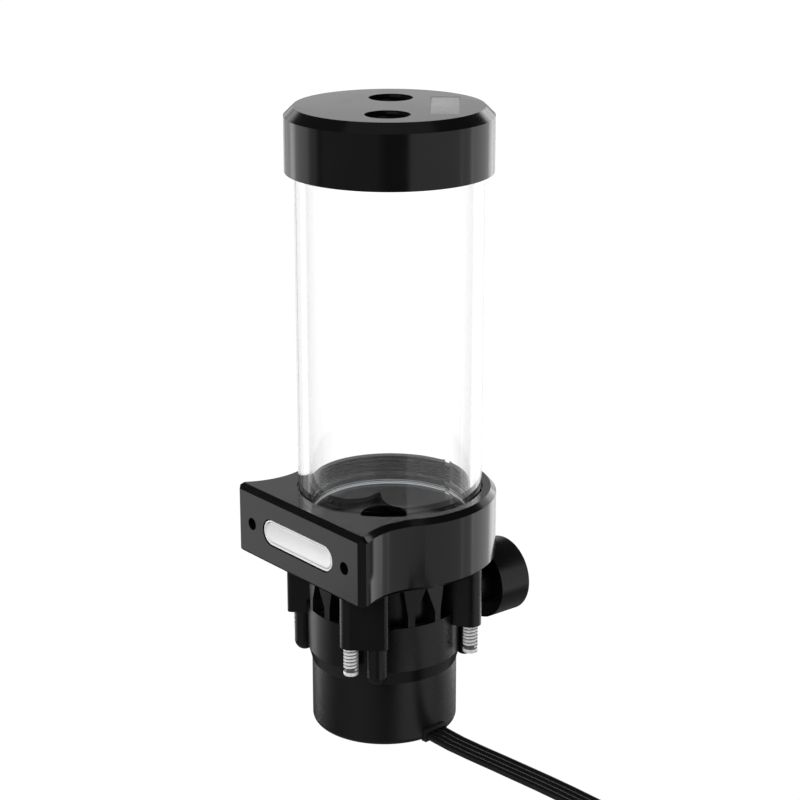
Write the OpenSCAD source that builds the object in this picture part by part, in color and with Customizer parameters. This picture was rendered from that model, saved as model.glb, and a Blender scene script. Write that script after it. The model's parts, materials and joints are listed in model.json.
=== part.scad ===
// Coolant pump with a tube reservoir standing on it.
// Origin: the centre of the motor's flat foot, on the pump's axis. +Z up.
// The mounting plate faces -Y. The tube's axis lies beside the pump's axis, towards +Y.

/* [Reservoir tube] */
// Outside diameter of the clear tube
tube_d = 50; // [44:0.5:54]
// Wall of the clear tube
tube_wall = 3; // [2.5:0.1:4]
// Length of tube seen between base block and cap
tube_visible = 87; // [40:1:200]
// Distance from the pump's axis to the tube's axis
tube_offset = 2.1; // [0:0.1:4]
// Section diameter of the tube's O-ring
tube_ring_d = 1.5; // [1:0.1:1.8]

/* [Top cap] */
// Outside diameter of the cap
cap_d = 55; // [54.5:0.5:64]
// Height of the cap
cap_h = 17; // [15:0.5:30]
// Chamfer round the cap's top edge
cap_chamfer = 2.5; // [0.5:0.1:4]
// Depth that the cap screws down over the tube
cap_grip = 9.5; // [7:0.1:11]
// Section diameter of the cap's O-ring
cap_ring_d = 1.8; // [1:0.1:2]
// Angle of the row of two ports, from the plate's face towards +X
cap_turn = 49.3; // [0:0.1:90]
// Distance between the two ports
port_pitch = 25; // [20:0.5:28]
// Shift of the pair of ports along their row
port_shift = 1.3; // [0:0.1:3]
// Length of the label recess
label_l = 25; // [10:0.5:30]
// Width of the label recess
label_w = 7.6; // [4:0.1:9]
// Distance from the cap's axis to the middle of the label
label_offset = 14.4; // [13:0.1:17]
// Thickness of the label plate
label_t = 0.4; // [0.2:0.1:1]

/* [Ports] */
// Bore of a G1/4 port
port_d = 11.8; // [11.4:0.1:13.2]
// Depth of the outlet port
port_depth = 9.5; // [8:0.5:12]

/* [Base block] */
// Height of the block
block_h = 20; // [19:0.5:30]
// Radius of the block's round side
block_r = 29; // [28.5:0.1:34]
// Chamfer round the block's top edge
block_chamfer = 1.5; // [0.3:0.1:2]
// Chamfer round the block's lower edge
foot_chamfer = 1.2; // [0.3:0.1:2]
// Width of the mounting plate
plate_w = 55.5; // [52:0.5:64]
// Distance from the tube's axis to the plate's face
plate_reach = 31.7; // [31:0.1:36]
// Chamfer on the plate's two upright corners
corner_chamfer = 1.6; // [0.5:0.1:3]
// Width of the neck between plate and round side
neck_w = 49.6; // [48.5:0.1:54]
// Radius of the hollow beside the neck
hollow_r = 18.5; // [14:0.5:24]
// Depth of the threaded bore that takes the tube
bore_depth = 7.75; // [7:0.25:9]
// Lip above the thread in the bore and in the cap
lip_h = 0.8; // [0.4:0.1:1.5]
// Depth of the thread's root behind the lip
thread_root = 0.6; // [0.3:0.1:0.8]
// Diameter of the inlet hole in the floor of the reservoir
inlet_d = 12.7; // [8:0.1:16]
// Distance between the two plate holes
plate_pitch = 41; // [38:0.5:46]
// Bore of the plate's tapped holes
plate_hole_d = 3.5; // [3:0.1:4]
// Depth of the plate's tapped holes
plate_hole_depth = 9; // [5:0.5:10]
// Length of the badge recess
badge_l = 31; // [20:0.5:33]
// Height of the badge recess
badge_h = 7.6; // [5:0.1:10]
// Depth of the badge recess
badge_depth = 0.9; // [0.5:0.1:1.5]

/* [Volute housing] */
// Height of the housing's wall, from the separator can to the block
volute_h = 14.45; // [14:0.05:18]
// Outside radius of the housing's wall
wall_r = 17.6; // [17.4:0.1:18.5]
// Radius of the spigot under the block
spigot_r = 15.1; // [14.8:0.1:15.3]
// Length of the spigot under the block
spigot_h = 6.3; // [5:0.1:6.5]
// Height of the flange under the block
flange_h = 2; // [1.5:0.1:3]
// Smallest radius of the spiral channel
spiral_r0 = 12; // [11.6:0.1:12.5]
// Growth of the spiral channel's radius over one turn
spiral_growth = 3; // [2:0.1:3.2]
// Distance of the outlet's axis from the pump's axis
outlet_x = 11.1; // [10.5:0.1:11.5]
// Height of the outlet's axis below the block
outlet_drop = 10.7; // [10.6:0.1:12]
// Diameter of the outlet boss
outlet_d = 21; // [18:0.1:21]
// Length of the outlet boss
outlet_l = 9.9; // [9:0.1:14]
// Distance of the outlet's mouth from the pump's axis
outlet_reach = 34.5; // [33:0.5:40]
// Bore of the outlet's passage
passage_d = 6; // [4:0.1:6.2]
// Distance from the pump's axis to a stud
stud_r = 25.2; // [24.8:0.1:26]
// Angle of the first stud from the plate's face towards +X
stud_turn = 30.7; // [29:0.1:33]
// Radius of a boss round its stud
boss_r = 2.95; // [2.7:0.05:3.2]
// Height of a boss
boss_h = 16.9; // [16:0.1:20]
// Distance of a boss's flat outer face from the pump's axis
boss_face = 26.75; // [26:0.05:27]
// Ribs between two bosses
ribs_per_gap = 2; // [1:1:3]
// Angle between two neighbouring ribs
rib_pitch = 22.8; // [20:0.1:24]
// Width of a rib at its foot
rib_foot = 2; // [1:0.1:3]
// Width of a rib at its head
rib_head = 6.7; // [3:0.1:7]

/* [Studs and screws] */
// Diameter of a stud
stud_d = 4; // [3:0.5:4]
// Length of stud that sticks out below its boss
stud_out = 8.2; // [4:0.1:12]
// Length of stud inside the block
stud_grip = 8; // [5:0.5:9]
// Diameter of a housing screw's shank
screw_d = 2.5; // [2:0.1:2.5]
// Diameter of a housing screw's head
screw_head_d = 4.6; // [4:0.1:5]

/* [Motor housing] */
// Radius of the motor can
can_r = 20.1; // [19.5:0.1:20.6]
// Height of the can below the skirt
can_h = 18.6; // [16:0.1:24]
// Radius of the can's foot edge
foot_fillet = 1.7; // [1:0.1:3]
// Radius of the skirt
skirt_r = 21.2; // [21:0.1:22]
// Height of the cone between can and skirt
skirt_cone = 3.9; // [2:0.1:5]
// Height of the skirt's rim above the foot
rim_z = 35.2; // [35:0.1:42]
// Depth of the separator can's seat below the rim
seat_depth = 2.6; // [2:0.1:4]
// Wall of the can
can_wall = 1.5; // [1:0.1:2]
// Floor of the can
can_floor = 2.2; // [1.5:0.1:3]
// Distance from the pump's axis to a screw column
column_at = 22.3; // [22:0.1:23]
// Radius of a screw column
column_r = 2.8; // [2.5:0.05:3]
// Height of a column's rounded end above the foot
column_z = 19.5; // [18:0.1:24]
// Angle of the first screw column from the plate's face towards +X
column_turn = 46.5; // [45:0.1:48]
// Width of the upright strips on the motor's skirt
strip_w = 0.8; // [0.6:0.05:0.9]
// Height of those strips
strip_h = 3.4; // [2:0.1:3.5]

/* [Rotor] */
// Radius of the impeller
impeller_r = 11; // [9:0.1:11.2]
// Number of impeller blades
blades = 6; // [4:1:8]
// Height of the impeller's blades
blade_h = 4; // [2.5:0.1:4.2]
// Thickness of an impeller blade
blade_t = 1; // [0.7:0.1:1.2]
// Radius of the rotor's sleeve
sleeve_r = 4.2; // [3.8:0.1:4.6]
// Radius of the rotor's magnet
magnet_r = 7.3; // [6.5:0.1:7.4]
// Height of the rotor's magnet
magnet_h = 16; // [12:0.5:18]
// Radius of the fixed shaft
shaft_r = 1.5; // [1.2:0.1:2]
// Running clearance of the bushes on the shaft
bush_gap = 0.03; // [0.02:0.01:0.08]

/* [Stator] */
// Outside radius of the separator can's cup
cup_r = 8.7; // [8.6:0.1:9]
// Wall of the separator can's cup
cup_wall = 0.7; // [0.5:0.1:0.9]
// Height of the stator's stack
core_h = 14; // [10:0.5:16]
// Number of stator teeth
teeth = 6; // [6:3:9]

/* [Cable] */
// Width of the flat cable
cable_w = 7.6; // [6:0.2:8]
// Thickness of the flat cable
cable_t = 1.9; // [1.5:0.1:2.4]
// Angle of the cable's notch from the plate's face towards +X
notch_turn = 95; // [90:0.5:110]

/* [Fits] */
// Gap between pieces that turn or slide past each other
run_gap = 0.3; // [0.2:0.05:0.4]
// Gap between pieces of one assembly that slip together
slip_gap = 0.1; // [0.05:0.05:0.2]

/* [Hidden] */
$fn = 96;
eps = 0.05;

// Heights above the motor's foot. The separator can's flange lies on a ledge inside the rim.
plate_t = 1.4;
plate_z = rim_z - seat_depth;
wall_z = plate_z + plate_t + eps;
block_z = wall_z + volute_h;
block_top = block_z + block_h;
floor_z = block_top - bore_depth;
cap_z = block_top + tube_visible;
cap_top = cap_z + cap_h;
ceiling_z = cap_z + cap_grip;
tube_z0 = floor_z + slip_gap;
tube_z1 = ceiling_z - run_gap - slip_gap;
spigot_z = block_z - spigot_h;
outlet_z = block_z - outlet_drop;
boss_z = block_z - boss_h;
flange_z = block_z - flange_h;

// Radii that follow from the tube.
tube_ro = tube_d / 2;
tube_ri = tube_ro - tube_wall;
bore_r = tube_ro + run_gap;
root_r = bore_r + thread_root;

// The separator can: its cup hangs from the flange into the stator.
cup_depth = 23;
cup_z = plate_z + plate_t - cup_depth;
cup_ri = cup_r - cup_wall;
ledge_r = can_r - can_wall;
plate_r = can_r - can_wall / 2;

// Rotor heights.
shaft_z0 = cup_z + 0.5;

// The stretch of stud that goes through its boss into the block is a little thinner.
shank_d = stud_d - 0.2;
washer_t = 0.6;
bush_l = 5;
sleeve_z0 = cup_z + cup_wall + 1.6;
impeller_z = plate_z + plate_t + 0.9;
disc_t = 1.2;
sleeve_z1 = impeller_z + disc_t + 3.6;
magnet_z = sleeve_z0 + 0.8;
bush_r = sleeve_r - 1.2;
shaft_z1 = sleeve_z1 + washer_t + 1.6;

// Stator heights.
core_r = ledge_r - 0.2;
core_z = cup_z + 2.6;
coil_t = 2.2;
bobbin_t = 0.6;
board_z = 5.2;
board_t = 1.2;

// Spiral channel: its radius at an angle, growing anticlockwise from the tongue to the outlet.
tongue_turn = 25;
function spiral_r(a) = spiral_r0 + spiral_growth * a / 360;
spiral = [for (a = [0 : 10 : 360]) spiral_r(a) * [cos(a + tongue_turn), sin(a + tongue_turn)]];

// Route of the flat cable's middle line, straight part, on the ground.
cable_lift = cable_t / 2;
route = [
    [19, 1.7, 1.6], [23, 2, 1.3], [28, 2.5, 0.95], [36, 3.2, 0.95], [44, 4.1, 0.95],
    [52, 4.9, 0.95], [60, 5.7, 0.95], [68, 6.3, 0.95], [76, 6.7, 0.95], [84, 6.9, 0.95],
    [92, 6.9, 0.95], [99, 6.8, 0.95], [106, 6.65, 0.95]
];
coil_at = [108, -36.4];
coil_r_out = 43;
coil_r_in = 35;
coil_mid = (coil_r_out + coil_r_in) / 2;
coil_w = coil_r_out - coil_r_in + cable_w;
tie_t = 0.4;
tail_turn = 72;
plug_size = [14, 10.4, 5.6];

function at(r, turn) = [r * sin(turn), -r * cos(turn)];

// Four copies round the pump's axis.
module four() {
    for (k = [0 : 3]) rotate([0, 0, 90 * k]) children();
}

// A ring of round section.
module o_ring(r, d) {
    rotate_extrude() translate([r, 0]) circle(d = d, $fn = 32);
}

// Plan of an oval slot with round ends.
module oval(l, h) {
    square([l - h, h], center = true);
    for (s = [-1, 1]) translate([s * (l - h) / 2, 0]) circle(d = h);
}

/* ---- Cap ---- */

// Places children in the cap's own frame: X along the row of ports, Z from the cap's foot.
module on_cap() {
    translate([0, tube_offset, cap_z]) rotate([0, 0, cap_turn - 90]) children();
}

// Groove in the cap's ceiling for its O-ring, over the tube's end.
seal_r = tube_ro - tube_wall / 2;
seal_w = cap_ring_d + 0.4;
seal_depth = cap_ring_d - run_gap + slip_gap;

module top_cap() {
    color([0.06, 0.06, 0.07]) on_cap() difference() {
        rotate_extrude() polygon([
            [0, cap_grip], [seal_r - seal_w / 2, cap_grip],
            [seal_r - seal_w / 2, cap_grip + seal_depth], [seal_r + seal_w / 2, cap_grip + seal_depth],
            [seal_r + seal_w / 2, cap_grip], [root_r - 0.3, cap_grip],
            [root_r - 0.3, lip_h], [bore_r, lip_h], [bore_r, 0],
            [cap_d / 2, 0], [cap_d / 2, cap_h - cap_chamfer],
            [cap_d / 2 - cap_chamfer, cap_h], [0, cap_h]
        ]);
        for (s = [-1, 1]) translate([port_shift + s * port_pitch / 2, 0, cap_grip - 1])
            cylinder(d = port_d, h = cap_h);
        translate([0, label_offset, cap_h - label_t])
            linear_extrude(1) square([label_l, label_w], center = true);
    }
}

module cap_label_plate() {
    color([0.35, 0.36, 0.37]) on_cap() translate([0, label_offset, cap_h - label_t])
        linear_extrude(label_t - eps)
            square([label_l - 2 * slip_gap, label_w - 2 * slip_gap], center = true);
}

module cap_o_ring() {
    color([0.12, 0.12, 0.12])
        translate([0, tube_offset, tube_z1 + 1.5 * slip_gap + cap_ring_d / 2])
            o_ring(seal_r, cap_ring_d);
}

/* ---- Tube ---- */

ring_z = 1.6;
groove_w = tube_ring_d + 0.5;
groove_r = tube_ro - tube_ring_d;

module reservoir_tube() {
    color([0.9, 0.95, 1, 0.35]) translate([0, tube_offset, tube_z0]) rotate_extrude() polygon([
        [tube_ri, 0], [tube_ro - 0.3, 0], [tube_ro, 0.3],
        [tube_ro, ring_z - groove_w / 2], [groove_r, ring_z - groove_w / 2],
        [groove_r, ring_z + groove_w / 2], [tube_ro, ring_z + groove_w / 2],
        [tube_ro, tube_z1 - tube_z0 - 0.3], [tube_ro - 0.3, tube_z1 - tube_z0],
        [tube_ri, tube_z1 - tube_z0]
    ]);
}

module tube_o_ring() {
    color([0.12, 0.12, 0.12]) translate([0, tube_offset, tube_z0 + ring_z])
        o_ring(groove_r + tube_ring_d / 2 + slip_gap, tube_ring_d);
}

/* ---- Base block ---- */

// Centre of the hollow beside the neck: it runs on smoothly into the round side.
hollow_x = neck_w / 2 + hollow_r;
hollow_y = -sqrt(pow(block_r + hollow_r - 0.1, 2) - pow(hollow_x, 2));

module plate_prism() {
    top = block_chamfer;
    foot = foot_chamfer;
    w = plate_w / 2;
    intersection() {
        linear_extrude(block_h) polygon([
            [-w, -plate_reach + corner_chamfer], [-w + corner_chamfer, -plate_reach],
            [w - corner_chamfer, -plate_reach], [w, -plate_reach + corner_chamfer],
            [w, -block_r * 0.35], [-w, -block_r * 0.35]
        ]);
        rotate([90, 0, 90]) translate([0, 0, -w - 1]) linear_extrude(plate_w + 2) polygon([
            [-plate_reach, foot], [-plate_reach + foot, 0], [0, 0], [0, block_h],
            [-plate_reach + top, block_h], [-plate_reach, block_h - top]
        ]);
        rotate([90, 0, 0]) linear_extrude(plate_reach + 1) polygon([
            [-w, foot], [-w + foot, 0], [w - foot, 0], [w, foot],
            [w, block_h - top], [w - top, block_h], [-w + top, block_h], [-w, block_h - top]
        ]);
    }
}

module round_side() {
    rotate_extrude() polygon([
        [0, 0], [block_r - foot_chamfer, 0], [block_r, foot_chamfer],
        [block_r, block_h - block_chamfer], [block_r - block_chamfer, block_h], [0, block_h]
    ]);
}

module hollow_cutter() {
    translate([hollow_x, hollow_y, 0]) {
        translate([0, 0, -1]) cylinder(r = hollow_r, h = block_h + 2);
        translate([0, 0, block_h - block_chamfer])
            cylinder(r1 = hollow_r, r2 = hollow_r + block_chamfer, h = block_chamfer);
        translate([0, 0, block_h - eps])
            cylinder(r = hollow_r + block_chamfer, h = 1);
        cylinder(r1 = hollow_r + foot_chamfer, r2 = hollow_r, h = foot_chamfer);
        translate([0, 0, -1])
            cylinder(r = hollow_r + foot_chamfer, h = 1 + eps);
    }
}

module base_block() {
    plate_mid = (block_h - block_chamfer + foot_chamfer) / 2;
    color([0.09, 0.09, 0.1]) difference() {
        translate([0, tube_offset, block_z]) difference() {
            union() {
                round_side();
                plate_prism();
            }
            hollow_cutter();
            mirror([1, 0, 0]) hollow_cutter();
            // Threaded bore for the tube, with its lip.
            rotate_extrude() polygon([
                [0, block_h - bore_depth], [root_r, block_h - bore_depth],
                [root_r, block_h - lip_h], [bore_r, block_h - lip_h],
                [bore_r, block_h + 1], [0, block_h + 1]
            ]);
            // Tapped holes and badge recess in the plate.
            for (s = [-1, 1]) translate([s * plate_pitch / 2, -plate_reach - 1, plate_mid])
                rotate([-90, 0, 0]) cylinder(d = plate_hole_d, h = plate_hole_depth + 1);
            translate([0, -plate_reach + badge_depth, plate_mid]) rotate([90, 0, 0])
                linear_extrude(badge_depth + 1) oval(badge_l, badge_h);
        }
        // Inlet and stud holes lie on the pump's axis.
        translate([0, 0, block_z - 1]) cylinder(d = inlet_d, h = block_h);
        four() translate(concat(at(stud_r, stud_turn), block_z - 1))
            cylinder(d = shank_d + eps, h = stud_grip + 1 + eps);
    }
    color([0.09, 0.09, 0.1]) translate([0, 0, spigot_z]) rotate_extrude() polygon([
        [inlet_d / 2, 0], [spigot_r - 0.4, 0], [spigot_r, 0.4],
        [spigot_r, 2.4], [spigot_r - 1.2, 2.4], [spigot_r - 1.2, 4.2], [spigot_r, 4.2],
        [spigot_r, spigot_h + eps], [inlet_d / 2, spigot_h + eps]
    ]);
}

module badge_plate() {
    plate_mid = (block_h - block_chamfer + foot_chamfer) / 2;
    color([0.86, 0.86, 0.87])
        translate([0, tube_offset - plate_reach + badge_depth, block_z + plate_mid])
            rotate([90, 0, 0]) difference() {
                linear_extrude(badge_depth - slip_gap)
                    oval(badge_l - 2 * slip_gap, badge_h - 2 * slip_gap);
                translate([0, 0, badge_depth - slip_gap - 0.25])
                    linear_extrude(1) oval(badge_l - 1.4, badge_h - 1.4);
            }
}

module spigot_o_ring() {
    color([0.12, 0.12, 0.12]) translate([0, 0, spigot_z + 3.3])
        o_ring(spigot_r - 0.45, 1.4);
}

/* ---- Volute housing ---- */

// Plan of two rounds joined by their common tangents.
module link_plan(a, ra, b, rb) {
    d = norm(b - a);
    turn = atan2(b[1] - a[1], b[0] - a[0]);
    lean = acos((ra - rb) / d);
    translate(a) circle(r = ra);
    translate(b) circle(r = rb);
    polygon([
        a + ra * [cos(turn + lean), sin(turn + lean)], a + ra * [cos(turn - lean), sin(turn - lean)],
        b + rb * [cos(turn - lean), sin(turn - lean)], b + rb * [cos(turn + lean), sin(turn + lean)]
    ]);
}

// Plan of a boss: round its stud and round its screw column, and back to the housing's wall.
module boss_plan() {
    corner_r = 1.2;
    half = column_r + 0.4;
    root = wall_r - 1;
    stud_side = [cos(stud_turn), sin(stud_turn)];
    side = [cos(column_turn), sin(column_turn)];
    corner = at(boss_face - corner_r, column_turn) + (half - corner_r) * side;
    link_plan(at(stud_r, stud_turn), boss_r, corner, corner_r);
    polygon([
        corner + corner_r * side, at(root, column_turn) + half * side,
        at(root, stud_turn) - boss_r * stud_side, at(stud_r, stud_turn) - boss_r * stud_side,
        at(stud_r, stud_turn), corner
    ]);
}

// A rib: narrow at its foot on the rim, flared and leaning at its head under the flange.
module rib(turn, lean) {
    h = flange_z - rim_z - slip_gap;
    rotate([0, 0, turn]) translate([0, -wall_r + 1, rim_z + slip_gap]) rotate([90, 0, 0])
        linear_extrude(skirt_r - wall_r + 1) polygon([
            [-rib_foot / 2, 0], [rib_foot / 2, 0],
            [rib_foot / 2, h * 0.27], [lean + rib_head / 2, h + eps],
            [lean - rib_head / 2, h + eps], [-rib_foot / 2, h * 0.27]
        ]);
}

module volute_housing() {
    color([0.07, 0.07, 0.08]) difference() {
        union() {
            translate([0, 0, wall_z]) cylinder(r = wall_r, h = block_z - wall_z);
            translate([0, 0, flange_z]) cylinder(r = skirt_r + 1, h = flange_h);
            four() translate([0, 0, boss_z]) linear_extrude(boss_h) boss_plan();
            four() for (k = [0 : ribs_per_gap - 1]) {
                side = k - (ribs_per_gap - 1) / 2;
                rib(stud_turn - 37.6 + side * rib_pitch, -side * 2.1);
            }
            // Neck and boss of the outlet.
            translate([outlet_x, wall_r / 2, outlet_z]) rotate([-90, 0, 0])
                cylinder(d = passage_d + 6, h = outlet_reach - wall_r / 2 - 1);
            translate([outlet_x, outlet_reach - outlet_l, outlet_z]) rotate([-90, 0, 0])
                cylinder(d = outlet_d, h = outlet_l);
        }
        // Room for the motor's skirt, its rim and the separator can.
        translate([0, 0, boss_z - 1]) cylinder(r = skirt_r + slip_gap, h = wall_z - boss_z + 1);
        difference() {
            translate([0, 0, boss_z]) cylinder(r = skirt_r + slip_gap, h = rim_z + slip_gap - boss_z);
            translate([0, 0, boss_z - 1]) cylinder(r = plate_r, h = boss_h);
            translate([outlet_x, 0, outlet_z]) rotate([-90, 0, 0])
                cylinder(d = passage_d + 6 + eps, h = outlet_reach);
        }
        // Spiral channel, recess for the spigot, outlet passage and port.
        translate([0, 0, wall_z - 1]) linear_extrude(spigot_z - wall_z + 1) polygon(spiral);
        translate([0, 0, spigot_z - slip_gap])
            cylinder(r = spigot_r + run_gap, h = block_h);
        translate([outlet_x, 0, outlet_z]) rotate([-90, 0, 0])
            cylinder(d = passage_d, h = outlet_reach);
        translate([outlet_x, outlet_reach - port_depth, outlet_z]) rotate([-90, 0, 0])
            cylinder(d = port_d, h = port_depth + 1);
        // Groove for the separator's O-ring, holes for studs and screws.
        translate([0, 0, wall_z - 1]) difference() {
            cylinder(r = wall_r - 0.85, h = 1.9);
            translate([0, 0, -1]) cylinder(r = wall_r - 1.85, h = 4);
        }
        four() {
            translate(concat(at(stud_r, stud_turn), boss_z - 1))
                cylinder(d = stud_d + 2 * slip_gap, h = boss_h + 2);
            translate(concat(at(column_at, column_turn), boss_z - 1))
                cylinder(d = screw_d + 2 * slip_gap, h = boss_h + 2);
            translate(concat(at(column_at, column_turn), block_z - 1.6))
                cylinder(d = screw_head_d + 2 * slip_gap, h = 2);
        }
    }
}

module separator_o_ring() {
    color([0.12, 0.12, 0.12]) translate([0, 0, plate_z + plate_t + 0.45])
        o_ring(wall_r - 1.35, 0.9);
}

/* ---- Rotor ---- */

// Plan of one blade: an arc swept back against the turn.
module blade_plan() {
    sweep_r = impeller_r * 0.75;
    intersection() {
        translate([sweep_r * 0.62, sweep_r * 0.8]) difference() {
            circle(r = sweep_r);
            circle(r = sweep_r - blade_t);
        }
        difference() {
            circle(r = impeller_r);
            circle(r = sleeve_r - 0.4);
            translate([-2 * impeller_r, 0]) square([4 * impeller_r, 2 * impeller_r]);
        }
    }
}

module impeller() {
    color([0.82, 0.82, 0.8]) translate([0, 0, impeller_z]) {
        difference() {
            union() {
                cylinder(r = impeller_r, h = disc_t);
                cylinder(r = sleeve_r + 1, h = disc_t + 1.5);
                translate([0, 0, disc_t - eps]) linear_extrude(blade_h)
                    for (k = [0 : blades - 1]) rotate(360 / blades * k) blade_plan();
            }
            translate([0, 0, -1]) cylinder(r = sleeve_r, h = disc_t + blade_h + 2);
        }
    }
}

module rotor_sleeve() {
    color([0.75, 0.75, 0.73]) translate([0, 0, sleeve_z0]) rotate_extrude() polygon([
        [bush_r, 0], [sleeve_r + 2.6, 0], [sleeve_r + 2.6, 0.8], [sleeve_r, 0.8],
        [sleeve_r, sleeve_z1 - sleeve_z0], [bush_r, sleeve_z1 - sleeve_z0],
        [bush_r, sleeve_z1 - sleeve_z0 - bush_l], [shaft_r + 0.4, sleeve_z1 - sleeve_z0 - bush_l],
        [shaft_r + 0.4, bush_l], [bush_r, bush_l]
    ]);
}

module rotor_magnet() {
    color([0.28, 0.28, 0.3]) translate([0, 0, magnet_z]) difference() {
        cylinder(r = magnet_r, h = magnet_h);
        translate([0, 0, -1]) cylinder(r = sleeve_r, h = magnet_h + 2);
    }
}

module bearing_bushes() {
    color([0.16, 0.16, 0.17]) for (z = [sleeve_z0, sleeve_z1 - bush_l]) translate([0, 0, z])
        difference() {
            cylinder(r = bush_r, h = bush_l);
            translate([0, 0, -1]) cylinder(r = shaft_r + bush_gap, h = bush_l + 2);
        }
}

module rotor_shaft() {
    color([0.93, 0.93, 0.9]) translate([0, 0, shaft_z0]) difference() {
        cylinder(r = shaft_r, h = shaft_z1 - shaft_z0);
        // Groove for the clip.
        translate([0, 0, shaft_z1 - shaft_z0 - 1.2]) difference() {
            cylinder(r = shaft_r + 1, h = 0.6);
            cylinder(r = shaft_r - 0.4, h = 0.6);
        }
    }
}

module thrust_washers() {
    color([0.85, 0.84, 0.78])
        for (z = [sleeve_z0 - slip_gap - washer_t, sleeve_z1 + slip_gap]) translate([0, 0, z])
            difference() {
                cylinder(r = bush_r, h = washer_t);
                translate([0, 0, -1]) cylinder(r = shaft_r + eps, h = washer_t + 2);
            }
}

module shaft_clip() {
    color([0.6, 0.6, 0.62]) translate([0, 0, shaft_z1 - 1.2 + eps]) difference() {
        cylinder(r = shaft_r + 1.1, h = 0.5);
        translate([0, 0, -1]) cylinder(r = shaft_r - 0.35, h = 3);
        translate([0, -shaft_r * 0.7, -1]) cube([shaft_r * 2, shaft_r * 1.4, 3]);
    }
}

/* ---- Motor ---- */

module separator_can() {
    color([0.2, 0.2, 0.22]) rotate_extrude() polygon([
        [0, cup_z], [cup_r, cup_z], [cup_r, plate_z], [plate_r - slip_gap, plate_z],
        [plate_r - slip_gap, plate_z + plate_t], [cup_ri, plate_z + plate_t],
        [cup_ri, cup_z + cup_wall], [shaft_r + 1.2, cup_z + cup_wall],
        [shaft_r + 1.2, sleeve_z0 - slip_gap - washer_t - eps],
        [shaft_r, sleeve_z0 - slip_gap - washer_t - eps], [shaft_r, shaft_z0], [0, shaft_z0]
    ]);
}

module tooth_places() {
    for (k = [0 : teeth - 1]) rotate([0, 0, 360 / teeth * k]) children();
}

module stator_core() {
    color([0.45, 0.46, 0.48]) translate([0, 0, core_z]) linear_extrude(core_h) difference() {
        union() {
            difference() {
                circle(core_r);
                circle(core_r - 2.4);
            }
            tooth_places() translate([cup_r, -1.2]) square([core_r - 1.2 - cup_r, 2.4]);
            intersection() {
                circle(cup_r + 1.5);
                tooth_places() translate([cup_r * 0.9, -3.2]) square([3, 6.4]);
            }
        }
        circle(cup_r + slip_gap);
    }
}

// Room beside a tooth: from the pole shoe to the stator's ring.
coil_x0 = cup_r + 1.9;
coil_l = core_r - 2.7 - coil_x0;

module stator_bobbin() {
    color([0.9, 0.9, 0.86]) tooth_places() translate([coil_x0 - 0.3, 0, core_z]) difference() {
        translate([0, -1.2 - bobbin_t, -bobbin_t])
            cube([coil_l + 0.4, 2.4 + 2 * bobbin_t, core_h + 2 * bobbin_t]);
        translate([-1, -1.2 - eps / 2, -eps / 2]) cube([coil_l + 3, 2.4 + eps, core_h + eps]);
    }
}

module stator_coils() {
    grow = coil_t * 0.55;
    color([0.72, 0.42, 0.2]) tooth_places() translate([coil_x0, 0, core_z]) difference() {
        translate([0, -1.2 - bobbin_t - grow, -bobbin_t - coil_t])
            cube([coil_l - 0.3, 2.4 + 2 * (bobbin_t + grow), core_h + 2 * (bobbin_t + coil_t)]);
        translate([-1, -1.2 - bobbin_t - eps / 2, -bobbin_t - eps / 2])
            cube([coil_l + 2, 2.4 + 2 * bobbin_t + eps, core_h + 2 * bobbin_t + eps]);
    }
}

module circuit_board() {
    color([0.1, 0.35, 0.18]) translate([0, 0, board_z]) difference() {
        cylinder(r = ledge_r - 0.3, h = board_t);
        translate([0, 0, -1]) cylinder(r = 2.5, h = board_t + 2);
        rotate([0, 0, notch_turn - 90]) translate([ledge_r - 3, -5, -1])
            cube([6, 10, board_t + 2]);
    }
}

module board_parts() {
    color([0.2, 0.2, 0.22]) translate([0, 0, board_z + board_t]) {
        translate([-12, -3, 0]) cube([5, 6, 1.6]);
        translate([6, 6, 0]) cube([4.5, 5, 1.4]);
        translate([2, -12, 0]) cylinder(d = 5, h = 2);
        translate([-5, 9, 0]) cube([3, 3, 1.1]);
    }
}

module notch_plan(w, h) {
    square([w, 2 * (h - 1)], center = true);
    translate([0, (h - 1) / 1]) square([w - 2, 2], center = true);
    for (s = [-1, 1]) translate([s * (w / 2 - 1), h - 1]) circle(r = 1);
}

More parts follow.
